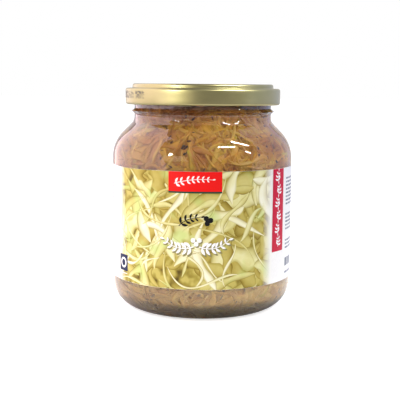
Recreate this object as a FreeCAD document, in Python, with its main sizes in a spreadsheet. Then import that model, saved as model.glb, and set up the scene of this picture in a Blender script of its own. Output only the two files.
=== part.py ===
"""A shut twist-off jar of sauerkraut: glass jar, lined metal cap, wrap-round paper label and contents.

Frame: millimetres, +Z up, origin on the table under the middle of the jar, -Y the front of the label.
Every piece is turned about Z, so each outline is drawn on the XZ plane: x is the radius, y the height.
"""

import FreeCAD
import Part
import Sketcher
import math
import os

OUT_FOLDER = "parts"
SHEET_NAME = "sizes"
FRONT = -90.0  # degrees about Z, counted from +X

DRIVING_SIZES = {
    # glass, outside
    "body_radius": 40.0,  # straight wall
    "wall_top": 67.2,  # height where the straight wall ends
    "heel_radius": 12.0,  # round from the straight wall down to the foot
    "foot_ring_width": 2.2,  # flat ring that the jar stands on
    "punt_rise": 2.4,  # how far the underside is pushed up in the middle
    "punt_flat": 8.0,  # radius of the flat at its top
    "shoulder_radius": 16.0,  # convex round above the straight wall
    "shoulder_lean": 45.0,  # degrees that the steepest part of the shoulder leans in
    "collar_radius": 4.0,  # concave round into the neck
    "neck_radius": 30.55,  # neck and root of the thread
    "neck_length": 1.4,  # plain neck under the bead
    "bead_rise": 1.55,  # how far the bead stands out of the neck
    "bead_flank": 1.15,  # height of each sloping side of the bead
    "bead_tip": 0.3,  # flat tip of the bead
    "finish_height": 9.5,  # from the bead up to the rim
    "lip_round": 0.8,  # rounded edges of the rim
    # glass, inside
    "glass_wall": 2.3,
    "floor_thickness": 4.2,  # glass over the top of the punt
    "inside_heel_radius": 9.0,
    # thread
    "thread_starts": 4.0,
    "thread_rise": 1.25,  # how far a thread stands out of the neck
    "thread_width": 1.5,
    "thread_pitch": 12.7,  # climb in one whole turn
    "thread_sweep": 110.0,  # degrees that one thread runs round
    # cap
    "cap_sheet": 0.25,  # tinplate
    "cap_lining": 0.85,  # sealing compound over the rim
    "bead_gap": 1.5,  # open height between the bead and the cap
    "skirt_clearance": 2.35,  # between the thread and the skirt
    "crown_clearance": 0.5,  # between the rim and the riser of the crown
    "crown_height": 1.9,  # how far the crown stands over the step
    "crown_round": 0.9,
    "step_round": 1.0,
    "riser_round": 0.5,
    "lining_width": 4.2,
    "panel_ramp": 1.2,  # width of the slope from the crown down to the panel
    "panel_drop": 0.8,  # how far the panel is sunk under the crown
    "button_radius": 11.0,  # safety button, drawn down by the vacuum
    "button_drop": 0.5,
    "curl_radius": 1.0,  # rolled hem of the skirt
    "curl_wrap": 250.0,  # degrees
    "lug_sweep": 20.0,  # degrees
    "lug_height": 1.3,
    "lug_clearance": 0.5,  # between a lug and the neck
    "lug_play": 0.15,  # between a lug and the thread over it
    # label
    "paper": 0.12,
    "label_low_margin": 2.9,  # above the heel
    "label_high_margin": 3.1,  # under the end of the straight wall
    "label_sweep": 342.0,  # degrees, centred on the front
    # contents
    "fill_gap": 0.05,  # between the contents and the glass
    "headspace": 5.5,  # from the rim down to the contents
    "hollow_depth": 1.1,  # shallow hollows in the top of the contents
    "hollow_radius": 14.0,
    "hollow_count": 5.0,
}

X_AXIS, Z_AXIS = -1, -2  # the two axes of a sketch
START, END, CENTRE = 1, 2, 3  # the named points of a sketch's edges


class Size:
    """A number with the spreadsheet expression that it comes from, so that a formula is written once."""

    def __init__(self, value, text):
        self.value = value
        self.text = text

    @staticmethod
    def of(other):
        return other if isinstance(other, Size) else Size(float(other), repr(other))

    def __add__(self, other):
        other = Size.of(other)
        return Size(self.value + other.value, f"({self.text} + {other.text})")

    def __sub__(self, other):
        other = Size.of(other)
        return Size(self.value - other.value, f"({self.text} - {other.text})")

    def __mul__(self, other):
        other = Size.of(other)
        return Size(self.value * other.value, f"{self.text} * {other.text}")

    def __truediv__(self, other):
        other = Size.of(other)
        return Size(self.value / other.value, f"{self.text} / ({other.text})")

    def __rmul__(self, other):
        return Size.of(other) * self

    def __radd__(self, other):
        return Size.of(other) + self

    def __rsub__(self, other):
        return Size.of(other) - self

    def __rtruediv__(self, other):
        return Size.of(other) / self

    def __float__(self):
        return float(self.value)


def sine(degrees):
    return Size(math.sin(math.radians(degrees.value)), f"sin({degrees.text} * 1deg)")


def cosine(degrees):
    return Size(math.cos(math.radians(degrees.value)), f"cos({degrees.text} * 1deg)")


def make_sizes(doc):
    """Writes the driving sizes into a spreadsheet and returns them as Sizes by alias."""
    sheet = doc.addObject("Spreadsheet::Sheet", SHEET_NAME)
    for row, (alias, value) in enumerate(DRIVING_SIZES.items(), start=1):
        sheet.set(f"A{row}", alias)
        sheet.set(f"B{row}", str(value))
        sheet.setAlias(f"B{row}", alias)
    doc.recompute()
    return {a: Size(float(sheet.get(a)), f"{SHEET_NAME}.{a}") for a in DRIVING_SIZES}


class Profile:
    """A closed outline in a sketch on a body's own plane, drawn edge by edge and dimensioned by Sizes."""

    def __init__(self, body, name, plane="XZ_Plane"):
        self.sketch = body.newObject("Sketcher::SketchObject", name)
        origin_plane = next(f for f in body.Origin.OriginFeatures if f.Role == plane)
        self.sketch.AttachmentSupport = [(origin_plane, "")]
        self.sketch.MapMode = "FlatFace"
        self.sketch.Visibility = False

    def line(self, start, end):
        return self.sketch.addGeometry(Part.LineSegment(vector(start), vector(end)), False)

    def arc(self, centre, radius, low, high):
        """An arc that runs anticlockwise from the direction low to the direction high, in degrees."""
        circle = Part.Circle(vector(centre), FreeCAD.Vector(0, 0, 1), float(radius))
        turn = math.radians(float(low)), math.radians(float(high))
        return self.sketch.addGeometry(Part.ArcOfCircle(circle, *turn), False)

    def rule(self, kind, *parts):
        return self.sketch.addConstraint(Sketcher.Constraint(kind, *parts))

    def dimension(self, kind, *parts, size, scale=1.0):
        index = self.rule(kind, *parts, float(size) * scale)
        if isinstance(size, Size):
            self.sketch.setExpression(f"Constraints[{index}]", size.text)

    def radius_of(self, edge, size):
        self.dimension("Radius", edge, size=size)

    def lean_of(self, edge, degrees):
        self.dimension("Angle", edge, size=degrees, scale=math.pi / 180)

    def out(self, edge, point, size):
        """How far a point stands out from the axis."""
        self.dimension("DistanceX", X_AXIS, START, edge, point, size=size)

    def up(self, edge, point, size):
        """How high a point lies."""
        self.dimension("DistanceY", X_AXIS, START, edge, point, size=size)

    def smooth(self, *joint):
        self.rule("Tangent", *joint)

    def join(self, *joint):
        self.rule("Coincident", *joint)

    def outline(self, points):
        """Straight edges through points of (radius, height), closed, with every point dimensioned."""
        edges = [self.line(a, b) for a, b in zip(points, points[1:] + points[:1])]
        for edge, following in zip(edges, edges[1:] + edges[:1]):
            self.join(edge, END, following, START)
        for edge, (radius, height) in zip(edges, points):
            if float(radius):
                self.out(edge, START, radius)
            else:
                self.rule("PointOnObject", edge, START, Z_AXIS)
            if float(height):
                self.up(edge, START, height)
            else:
                self.rule("PointOnObject", edge, START, X_AXIS)


def vector(point):
    return FreeCAD.Vector(float(point[0]), float(point[1]), 0)


def revolve(body, profile, name, kind="PartDesign::Revolution", sweep=None, midplane=False):
    """Turns an outline about the body's Z axis, all the way round or through sweep degrees."""
    turned = body.newObject(kind, name)
    turned.Profile = profile.sketch
    turned.ReferenceAxis = (profile.sketch, ["V_Axis"])
    turned.Midplane = midplane
    turned.Angle = 360.0
    if sweep is not None:
        turned.setExpression("Angle", sweep.text)
    return turned


def repeat_round(body, feature, name, count):
    """Copies a feature evenly round the body's Z axis."""
    pattern = body.newObject("PartDesign::PolarPattern", name)
    pattern.Originals = [feature]
    pattern.Axis = (next(f for f in body.Origin.OriginFeatures if f.Role == "Z_Axis"), [""])
    pattern.Angle = 360.0
    pattern.setExpression("Occurrences", count.text)
    body.Tip = pattern
    return pattern


def circles_at(shape, radius, height, near=0.01):
    """The names of the round edges of that radius about Z at that height."""
    names = []
    for number, edge in enumerate(shape.Edges, start=1):
        box = edge.BoundBox
        level = abs(box.ZMin - float(height)) < near and abs(box.ZMax - float(height)) < near
        if level and abs(box.XMax - float(radius)) < near and abs(box.YMax - float(radius)) < near:
            names.append(f"Edge{number}")
    return names


def round_off(body, name, size, circles):
    """Fillets the circular edges given as (radius, height)."""
    body.Document.recompute()
    before = body.Tip
    fillet = body.newObject("PartDesign::Fillet", name)
    edges = [n for radius, height in circles for n in circles_at(before.Shape, radius, height)]
    fillet.Base = (before, edges)
    fillet.Radius = float(size)
    fillet.setExpression("Radius", size.text)
    body.Tip = fillet


def jar_levels(s):
    """The heights and radii that the pieces share, worked out from the driving sizes."""
    lean = s["shoulder_lean"]
    shoulder_end = s["body_radius"] - s["shoulder_radius"] * (1 - cosine(lean))
    collar_start = s["neck_radius"] + s["collar_radius"] * (1 - cosine(lean))
    shoulder_top = s["wall_top"] + s["shoulder_radius"] * sine(lean)
    slope_rise = (shoulder_end - collar_start) * cosine(lean) / sine(lean)
    collar_top = shoulder_top + slope_rise + s["collar_radius"] * sine(lean)
    bead_low = collar_top + s["neck_length"]
    bead_high = bead_low + 2 * s["bead_flank"] + s["bead_tip"]
    rim = bead_high + s["finish_height"]
    cap_top = rim + s["cap_lining"] + s["cap_sheet"]
    skirt_inside = s["neck_radius"] + s["thread_rise"] + s["skirt_clearance"]
    crown_inside = s["neck_radius"] + s["crown_clearance"]
    return {
        "shoulder_end": shoulder_end,
        "shoulder_top": shoulder_top,
        "collar_start": collar_start,
        "collar_low": shoulder_top + slope_rise,
        "collar_top": collar_top,
        "bead_low": bead_low,
        "bead_high": bead_high,
        "rim": rim,
        "floor": s["punt_rise"] + s["floor_thickness"],
        "cap_low": bead_high + s["bead_gap"],
        "cap_step": cap_top - s["crown_height"],
        "cap_top": cap_top,
        "skirt_inside": skirt_inside,
        "cap_radius": skirt_inside + s["cap_sheet"],
        "crown_inside": crown_inside,
        "crown_radius": crown_inside + s["cap_sheet"],
    }


def draw_wall(profile, s, level, inset, heel, bottom):
    """One skin of the glass, inset from its outside, from the floor up round the heel to the neck.

    Returns the first and the last edge. The neck's upper end is left for the caller to place."""
    lean = s["shoulder_lean"]
    side = s["body_radius"] - inset
    neck_side = s["neck_radius"] - inset
    convex = s["shoulder_radius"] - inset
    concave = s["collar_radius"] + inset
    turn = float(lean)
    shift_out, shift_up = inset * cosine(lean), inset * sine(lean)
    slope_low = level["shoulder_end"] - shift_out, level["shoulder_top"] - shift_up
    slope_high = level["collar_start"] - shift_out, level["collar_low"] - shift_up
    floor = profile.line((0, bottom), (side - heel, bottom))
    heel_arc = profile.arc((side - heel, bottom + heel), heel, -90, 0)
    wall = profile.line((side, bottom + heel), (side, s["wall_top"]))
    shoulder = profile.arc((side - convex, s["wall_top"]), convex, 0, turn)
    slope = profile.line(slope_low, slope_high)
    collar = profile.arc((neck_side + concave, level["collar_top"]), concave, 180, 180 + turn)
    neck = profile.line((neck_side, level["collar_top"]), (neck_side, level["bead_low"]))
    profile.rule("PointOnObject", floor, START, Z_AXIS)
    profile.rule("Horizontal", floor)
    profile.smooth(floor, END, heel_arc, START)
    profile.smooth(heel_arc, END, wall, START)
    profile.rule("Vertical", wall)
    profile.smooth(wall, END, shoulder, START)
    profile.smooth(shoulder, END, slope, START)
    profile.smooth(slope, END, collar, END)
    profile.smooth(collar, START, neck, START)
    profile.rule("Vertical", neck)
    if float(bottom):
        profile.up(floor, START, bottom)
    else:
        profile.rule("PointOnObject", floor, START, X_AXIS)
    profile.radius_of(heel_arc, heel)
    profile.out(wall, START, side)
    profile.up(wall, END, s["wall_top"])
    profile.radius_of(shoulder, convex)
    profile.lean_of(slope, 90 + lean)
    profile.radius_of(collar, concave)
    profile.out(neck, END, neck_side)
    return floor, neck


def close_at_top(profile, floor, neck, neck_side, height):
    """Ends the neck at a height and closes the outline along the axis."""
    top = profile.line((neck_side, height), (0, height))
    axis = profile.line((0, height), (0, 0))
    profile.join(neck, END, top, START)
    profile.rule("Horizontal", top)
    profile.up(neck, END, height)
    profile.join(top, END, axis, START)
    profile.rule("Vertical", axis)
    profile.join(axis, END, floor, START)


def make_glass(doc, s, level):
    """The glass jar: outside, cavity, punt, rounded lip and a thread of several starts."""
    body = doc.addObject("PartDesign::Body", "glass_jar")
    no_inset = Size(0.0, "0")

    outside = Profile(body, "outside_profile")
    floor, neck = draw_wall(outside, s, level, no_inset, s["heel_radius"], no_inset)
    bead = s["neck_radius"] + s["bead_rise"]
    bead_corners = [
        (bead, level["bead_low"] + s["bead_flank"]),
        (bead, level["bead_high"] - s["bead_flank"]),
        (s["neck_radius"], level["bead_high"]),
    ]
    outside.up(neck, END, level["bead_low"])
    before, corner = neck, (s["neck_radius"], level["bead_low"])
    for following in bead_corners:
        edge = outside.line(corner, following)
        outside.join(before, END, edge, START)
        outside.out(edge, END, following[0])
        outside.up(edge, END, following[1])
        before, corner = edge, following
    finish = outside.line(corner, (s["neck_radius"], level["rim"]))
    outside.join(before, END, finish, START)
    outside.rule("Vertical", finish)
    close_at_top(outside, floor, finish, s["neck_radius"], level["rim"])
    revolve(body, outside, "outside")

    cavity = Profile(body, "cavity_profile")
    floor, neck = draw_wall(cavity, s, level, s["glass_wall"], s["inside_heel_radius"], level["floor"])
    bore = s["neck_radius"] - s["glass_wall"]
    close_at_top(cavity, floor, neck, bore, level["rim"])
    revolve(body, cavity, "cavity", kind="PartDesign::Groove")

    punt = Profile(body, "punt_profile")
    punt_radius = s["body_radius"] - s["heel_radius"] - s["foot_ring_width"]
    draw_punt(punt, punt_radius, s["punt_flat"], s["punt_rise"])
    revolve(body, punt, "punt", kind="PartDesign::Groove")

    round_off(body, "lip", s["lip_round"], [(bore, level["rim"]), (s["neck_radius"], level["rim"])])
    add_thread(body, s, level)
    return body


def draw_punt(profile, radius, flat, rise):
    """The outline under a shallow rise: a round that runs up from the table to a small flat in the middle."""
    run = (radius - flat).value
    bend = (run**2 + rise.value**2) / (2 * rise.value)
    turn = math.degrees(math.asin(run / bend))
    base = profile.line((0, 0), (radius, 0))
    rise_arc = profile.arc((flat, rise.value - bend), bend, 90 - turn, 90)
    top = profile.line((flat, rise), (0, rise))
    axis = profile.line((0, rise), (0, 0))
    profile.join(base, END, rise_arc, START)
    profile.smooth(rise_arc, END, top, START)
    profile.join(top, END, axis, START)
    profile.join(axis, END, base, START)
    profile.rule("Coincident", base, START, X_AXIS, START)
    profile.rule("Horizontal", base)
    profile.rule("Horizontal", top)
    profile.rule("Vertical", axis)
    profile.out(base, END, radius)
    profile.out(top, START, flat)
    profile.up(axis, START, rise)


def thread_middle(s, level):
    """The height of a thread's middle line over the middle of a lug, which clears it along its length."""
    half_lug_climb = s["thread_pitch"] * s["lug_sweep"] / 720
    return level["cap_low"] + s["lug_height"] + s["lug_play"] + half_lug_climb + s["thread_width"] / 2


def add_thread(body, s, level):
    """Short helical ridges round the finish, one for each lug of the cap."""
    climb = s["thread_pitch"] * s["thread_sweep"] / 360
    low = thread_middle(s, level) - climb / 2 - s["thread_width"] / 2
    root = s["neck_radius"] - s["lip_round"] / 2
    crest = s["neck_radius"] + s["thread_rise"]
    section = Profile(body, "thread_profile")
    section.outline(
        [
            (root, low),
            (crest, low + s["thread_width"] / 4),
            (crest, low + s["thread_width"] * 3 / 4),
            (root, low + s["thread_width"]),
        ]
    )
    ridge = body.newObject("PartDesign::AdditiveHelix", "thread_ridge")
    ridge.Profile = section.sketch
    ridge.ReferenceAxis = (section.sketch, ["V_Axis"])
    ridge.Mode = "pitch-height-angle"
    ridge.setExpression("Pitch", s["thread_pitch"].text)
    ridge.setExpression("Height", climb.text)
    ridge.LeftHanded = False
    body.Document.recompute()
    repeat_round(body, ridge, "thread", s["thread_starts"])


def make_lid(doc, s, level):
    """The lined cap: crown, sunk panel with its button, step, skirt, rolled hem and inward lugs."""
    body = doc.addObject("PartDesign::Body", "lid")
    sheet = s["cap_sheet"]
    skirt_low = level["cap_low"] + s["curl_radius"]
    panel = level["cap_top"] - s["panel_drop"]
    button = panel - s["button_drop"]
    lining_inside = level["crown_inside"] - s["lining_width"]

    outside = Profile(body, "outside_profile")
    outside.outline(
        [
            (0, skirt_low),
            (level["cap_radius"], skirt_low),
            (level["cap_radius"], level["cap_step"]),
            (level["crown_radius"], level["cap_step"]),
            (level["crown_radius"], level["cap_top"]),
            (lining_inside, level["cap_top"]),
            (lining_inside - s["panel_ramp"], panel),
            (s["button_radius"] + s["panel_ramp"], panel),
            (s["button_radius"], button),
            (0, button),
        ]
    )
    revolve(body, outside, "outside")
    round_off(body, "step_edge", s["step_round"], [(level["cap_radius"], level["cap_step"])])
    round_off(body, "crown_edge", s["crown_round"], [(level["crown_radius"], level["cap_top"])])
    round_off(body, "riser_root", s["riser_round"], [(level["crown_radius"], level["cap_step"])])
    hollow_out(body, sheet)

    lining = Profile(body, "lining_profile")
    lining_top = level["cap_top"] - sheet / 2
    lining.outline(
        [
            (lining_inside, level["rim"]),
            (level["crown_inside"], level["rim"]),
            (level["crown_inside"], lining_top - s["crown_round"]),
            (level["crown_inside"] - s["crown_round"], lining_top),
            (lining_inside, lining_top),
        ]
    )
    revolve(body, lining, "lining")

    hem = Profile(body, "hem_profile")
    curl_centre = level["cap_radius"] - s["curl_radius"], skirt_low
    draw_curl(hem, curl_centre, s["curl_radius"], sheet, s["curl_wrap"])
    revolve(body, hem, "hem")

    lug = Profile(body, "lug_profile")
    lug_tip = s["neck_radius"] + s["lug_clearance"]
    lug_root = level["cap_radius"] - s["curl_radius"]
    lug_low = level["cap_low"] + sheet / 2
    lug_high = level["cap_low"] + s["lug_height"]
    lug.outline([(lug_tip, lug_low), (lug_root, lug_low), (lug_root, lug_high), (lug_tip, lug_high)])
    one_lug = revolve(body, lug, "lug", sweep=s["lug_sweep"], midplane=True)
    repeat_round(body, one_lug, "lugs", s["thread_starts"])

    turn_about_z(body, s["thread_sweep"] / 2)
    return body


def hollow_out(body, sheet):
    """Leaves a shell of sheet metal, open at the flat face underneath."""
    body.Document.recompute()
    before = body.Tip
    heights = [face.CenterOfMass.z for face in before.Shape.Faces]
    lowest = heights.index(min(heights)) + 1
    shell = body.newObject("PartDesign::Thickness", "sheet_metal")
    shell.Base = (before, [f"Face{lowest}"])
    shell.Value = float(sheet)
    shell.setExpression("Value", sheet.text)
    shell.Reversed = True
    shell.Join = "Intersection"
    body.Tip = shell


def draw_curl(profile, centre, radius, sheet, wrap):
    """A strip of sheet metal rolled inwards and up, that starts at the outer side of its round."""
    begin = 360 - wrap
    inside = radius - sheet
    outer = profile.arc(centre, radius, begin, 360)
    inner = profile.arc(centre, inside, begin, 360)
    top = profile.line((centre[0] + inside, centre[1]), (centre[0] + radius, centre[1]))
    tip = profile.line(
        (centre[0] + inside * cosine(begin), centre[1] + inside * sine(begin)),
        (centre[0] + radius * cosine(begin), centre[1] + radius * sine(begin)),
    )
    profile.join(inner, END, top, START)
    profile.join(outer, END, top, END)
    profile.join(inner, START, tip, START)
    profile.join(outer, START, tip, END)
    profile.join(inner, CENTRE, outer, CENTRE)
    profile.rule("PointOnObject", outer, CENTRE, tip)
    profile.rule("Horizontal", outer, CENTRE, outer, END)
    profile.out(outer, CENTRE, centre[0])
    profile.up(outer, CENTRE, centre[1])
    profile.radius_of(outer, radius)
    profile.radius_of(inner, inside)
    profile.lean_of(tip, begin)


def turn_about_z(body, degrees):
    """Turns a whole piece about the jar's axis."""
    turn = FreeCAD.Rotation(FreeCAD.Vector(0, 0, 1), degrees.value)
    body.Placement = FreeCAD.Placement(FreeCAD.Vector(), turn)
    body.setExpression("Placement.Rotation.Angle", degrees.text)


def make_label(doc, s):
    """The paper label, glued round the straight wall and open at the back."""
    body = doc.addObject("PartDesign::Body", "label")
    paper = Profile(body, "paper_profile")
    low = s["heel_radius"] + s["label_low_margin"]
    high = s["wall_top"] - s["label_high_margin"]
    inner, outer = s["body_radius"], s["body_radius"] + s["paper"]
    paper.outline([(inner, low), (outer, low), (outer, high), (inner, high)])
    revolve(body, paper, "paper", sweep=s["label_sweep"], midplane=True)
    turn_about_z(body, Size.of(FRONT))
    return body


def make_contents(doc, s, level):
    """The packed sauerkraut, up to the fill line, with shallow hollows in its top."""
    body = doc.addObject("PartDesign::Body", "sauerkraut")
    inset = s["glass_wall"] + s["fill_gap"]
    heel = s["inside_heel_radius"] - s["fill_gap"]
    fill_line = level["rim"] - s["headspace"]
    mass = Profile(body, "mass_profile")
    floor, neck = draw_wall(mass, s, level, inset, heel, level["floor"] + s["fill_gap"])
    close_at_top(mass, floor, neck, s["neck_radius"] - inset, fill_line)
    revolve(body, mass, "mass")

    hollow = body.newObject("PartDesign::SubtractiveSphere", "hollow")
    hollow.setExpression("Radius", s["hollow_radius"].text)
    hollow.Placement = FreeCAD.Placement(FreeCAD.Vector(), FreeCAD.Rotation(FreeCAD.Vector(1, 0, 0), 90))
    hollow.setExpression("Placement.Base.x", (s["neck_radius"] / 2).text)
    hollow.setExpression("Placement.Base.z", (fill_line + s["hollow_radius"] - s["hollow_depth"]).text)
    body.Document.recompute()
    repeat_round(body, hollow, "hollows", s["hollow_count"])
    return body


def check(doc, pieces):
    """Stops if any object failed to recompute, or a piece has no sound shape."""
    for thing in doc.Objects:
        if any(word in thing.State for word in ("Invalid", "Error")):
            raise RuntimeError(f"{thing.Name} failed: {thing.State}")
    for piece in pieces:
        if piece.Shape.isNull() or not piece.Shape.isValid():
            raise RuntimeError(f"{piece.Label} has no sound shape")


def main():
    doc = FreeCAD.newDocument("sauerkraut_jar")
    s = make_sizes(doc)
    level = jar_levels(s)
    pieces = [
        make_glass(doc, s, level),
        make_lid(doc, s, level),
        make_label(doc, s),
        make_contents(doc, s, level),
    ]
    doc.recompute()
    check(doc, pieces)
    os.makedirs(OUT_FOLDER, exist_ok=True)
    for piece in pieces:
        piece.Shape.exportStep(f"{OUT_FOLDER}/{piece.Label}.step")
        box = piece.Shape.optimalBoundingBox()
        print(
            f"{piece.Label}: {piece.Shape.Volume / 1000:.2f} cm3, {len(piece.Shape.Solids)} solid,"
            f" {box.XLength:.2f} x {box.YLength:.2f} mm, z {box.ZMin:.2f} to {box.ZMax:.2f}"
        )


main()
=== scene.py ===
# %% [markdown]
# # A jar of sauerkraut
# A clear glass jar with a gold twist-off cap and a paper label, packed with fermented white cabbage.
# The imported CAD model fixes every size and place. This notebook gives each piece its real surface:
# glass that was blown in a mould, shreds pressed against it, lacquered tinplate and a printed label.

import math

import bpy
import bmesh
import numpy as np
from mathutils import Matrix, Vector


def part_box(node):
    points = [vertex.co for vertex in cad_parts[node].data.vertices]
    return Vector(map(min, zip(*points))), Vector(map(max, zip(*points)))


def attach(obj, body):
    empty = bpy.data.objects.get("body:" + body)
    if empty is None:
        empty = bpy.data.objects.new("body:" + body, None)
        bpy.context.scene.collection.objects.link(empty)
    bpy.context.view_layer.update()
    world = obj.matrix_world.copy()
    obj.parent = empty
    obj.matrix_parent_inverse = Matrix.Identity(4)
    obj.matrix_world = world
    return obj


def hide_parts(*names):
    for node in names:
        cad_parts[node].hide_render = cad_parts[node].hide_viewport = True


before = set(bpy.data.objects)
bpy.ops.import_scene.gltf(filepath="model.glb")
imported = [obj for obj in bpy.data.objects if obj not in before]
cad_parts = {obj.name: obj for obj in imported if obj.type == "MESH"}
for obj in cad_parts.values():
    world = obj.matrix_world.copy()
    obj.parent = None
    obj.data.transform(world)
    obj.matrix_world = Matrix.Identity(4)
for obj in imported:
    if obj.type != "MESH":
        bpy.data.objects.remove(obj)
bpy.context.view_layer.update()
MM = 0.001
print("nodes:", sorted(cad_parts))

# %% [markdown]
# Colours are written as sRGB hex, the way a paint or print shop gives them. Blender's shaders count in
# linear light, so one function turns a hex value into the numbers that a socket wants.
# A second function adds a shader node, sets its options and fills its sockets. A few more, built on it,
# give noise, ramps, mixes and bumps their own names, so that a material reads as a short list.


# %% Helpers for colours and nodes
def linear(hex_colour):
    """Linear red, green, blue and alpha from an sRGB hex value such as #C8B070."""
    channels = [int(hex_colour[i : i + 2], 16) / 255 for i in (1, 3, 5)]
    return [c / 12.92 if c <= 0.04045 else ((c + 0.055) / 1.055) ** 2.4 for c in channels] + [1.0]


def add(material, kind, inputs=None, stops=None, **settings):
    """Adds a shader node. inputs fill its sockets with values or links, stops are a ramp's colours."""
    node = material.node_tree.nodes.new("ShaderNode" + kind)
    for name, value in settings.items():
        setattr(node, name, value)
    for name, value in (inputs or {}).items():
        if isinstance(value, bpy.types.NodeSocket):
            material.node_tree.links.new(value, node.inputs[name])
        else:
            node.inputs[name].default_value = value
    if stops:
        elements = node.color_ramp.elements
        while len(elements) < len(stops):
            elements.new(0.5)
        for element, (place, colour) in zip(elements, stops):
            element.position = place
            element.color = linear(colour)
    return node


def start_material(name):
    material = bpy.data.materials.new(name)
    material.use_nodes = True
    material.node_tree.nodes.clear()
    return material


def position(material):
    """The place on the piece, in metres."""
    return add(material, "TexCoord").outputs["Object"]


def carried(material, name):
    """A number that the mesh carries at each point."""
    return add(material, "Attribute", attribute_name=name).outputs["Fac"]


def noise(material, place, size, detail, **extra):
    """Cloudy noise with blotches about size metres wide."""
    inputs = {"Vector": place, "Scale": 1 / size, "Detail": detail} | extra
    return add(material, "TexNoise", inputs).outputs["Fac"]


def ramp_colour(material, value, *stops):
    return add(material, "ValToRGB", {"Fac": value}, stops=stops).outputs["Color"]


def spread(material, value, low, high, first=0.0, last=1.0):
    """The value's place between low and high, from first to last."""
    inputs = {"Value": value, "From Min": low, "From Max": high, "To Min": first, "To Max": last}
    return add(material, "MapRange", inputs).outputs["Result"]


def mix_value(material, share, a, b):
    return add(material, "Mix", {"Factor": share, "A": a, "B": b}, data_type="FLOAT").outputs[0]


def mix_colour(material, share, a, b, **how):
    return add(material, "Mix", {"Factor": share, "A": a, "B": b}, data_type="RGBA", **how).outputs[2]


def times(material, a, b):
    return mix_colour(material, 1.0, a, b, blend_type="MULTIPLY")


def bumps(material, height, strength, distance):
    inputs = {"Height": height, "Strength": strength, "Distance": distance}
    return add(material, "Bump", inputs).outputs["Normal"]


def finish_material(material, surface):
    add(material, "OutputMaterial", {"Surface": surface.outputs[0]})
    print("material:", material.name)
    return material


# %% [markdown]
# A jar is a shape of revolution, so a maker draws half of its section once. The same few radii describe
# the outside and, moved in by the wall's thickness, the inside and the contents.
# Each round stretch is an arc, joined by straight lines.

# %% The jar's section
jar_low, jar_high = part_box("glass_jar")
BODY = jar_high[0]
RIM = jar_high[2]
WALL_TOP = 67.2 * MM
HEEL = 12 * MM
HEEL_INSIDE = 9 * MM
SHOULDER = 16 * MM
COLLAR = 4 * MM
LEAN = 45
NECK = 30.55 * MM
NECK_LENGTH = 1.4 * MM
BEAD_HEIGHT = 2.6 * MM
BEAD_RISE = 1.55 * MM
WALL = 2.3 * MM
FLOOR = 6.6 * MM
PUNT = 2.4 * MM
PUNT_FLAT = 8 * MM
FOOT_RING = 2.2 * MM
LIP = 0.8 * MM


def arc(centre, radius, begin, end, steps):
    """Points of (radius, height) along an arc, angles in degrees."""
    turn = np.radians(np.linspace(begin, end, steps))
    return [(centre[0] + radius * math.cos(t), centre[1] + radius * math.sin(t)) for t in turn]


def subdivide(points, step):
    """The same outline with no stretch longer than step."""
    fine = [points[0]]
    for (r0, z0), (r1, z1) in zip(points, points[1:]):
        count = max(1, math.ceil(math.hypot(r1 - r0, z1 - z0) / step))
        fine += [(r0 + (r1 - r0) * i / count, z0 + (z1 - z0) * i / count) for i in range(1, count + 1)]
    return fine


def collar_centre():
    """Where the collar's round is struck, which fixes how tall the shoulder is."""
    rounds = (SHOULDER + COLLAR) * (1 - math.cos(math.radians(LEAN)))
    slope_rise = (BODY - NECK - rounds) / math.tan(math.radians(LEAN))
    rise = (SHOULDER + COLLAR) * math.sin(math.radians(LEAN)) + slope_rise
    return NECK + COLLAR, WALL_TOP + rise


def skin(inset, heel, floor):
    """The jar's wall from the floor's edge up to the neck, moved in by inset."""
    side = BODY - inset
    top = collar_centre()
    return (
        arc((side - heel, floor + heel), heel, -90, 0, 14)
        + arc((BODY - SHOULDER, WALL_TOP), SHOULDER - inset, 0, LEAN, 14)
        + arc(top, COLLAR + inset, 180 + LEAN, 180, 8)
    )


NECK_LOW = collar_centre()[1]
BEAD_LOW = NECK_LOW + NECK_LENGTH
BEAD_HIGH = BEAD_LOW + BEAD_HEIGHT
print(f"neck from {NECK_LOW / MM:.1f} mm, bead up to {BEAD_HIGH / MM:.1f} mm, rim at {RIM / MM:.1f} mm")

# %% [markdown]
# Blender has a Screw modifier and a Spin tool for turned shapes. Building the rings in code instead
# lets every ring be bent a little, because blown glass and pressed tin are never perfectly round.


# %% Turning an outline
NEARLY_ROUND = math.radians(355)


def new_piece(name, points, faces):
    """A mesh object in the scene."""
    mesh = bpy.data.meshes.new(name)
    mesh.from_pydata(points, [], faces)
    piece = bpy.data.objects.new(name, mesh)
    bpy.context.scene.collection.objects.link(piece)
    return piece


def turned(name, outline, around, ring=False, bend=None, sharp=50):
    """Turns (radius, height) points about Z. around holds the angles: a full circle if the last is open.

    A ring's outline closes on itself. bend may move the radius and height of each point."""
    flat = np.array(outline)
    whole = around[-1] - around[0] > NEARLY_ROUND
    rows, columns = len(flat), len(around)
    angle = np.broadcast_to(around, (rows, columns))
    radius = np.repeat(flat[:, :1], columns, 1)
    height = np.repeat(flat[:, 1:], columns, 1)
    if bend:
        radius, height = bend(radius, height, angle)
    points = np.stack([radius * np.cos(angle), radius * np.sin(angle), height], -1).reshape(-1, 3)
    down = np.arange(rows if ring else rows - 1)
    across = np.arange(columns if whole else columns - 1)
    i, j = np.meshgrid(down, across, indexing="ij")
    i2, j2 = (i + 1) % rows, (j + 1) % columns
    quads = np.stack([i * columns + j, i * columns + j2, i2 * columns + j2, i2 * columns + j], -1)
    faces = quads.reshape(-1, 4).tolist()
    if ring and not whole:
        faces += [[r * columns for r in range(rows)], [(r + 1) * columns - 1 for r in reversed(range(rows))]]
    return mesh_piece(name, points, faces, sharp)


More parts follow.
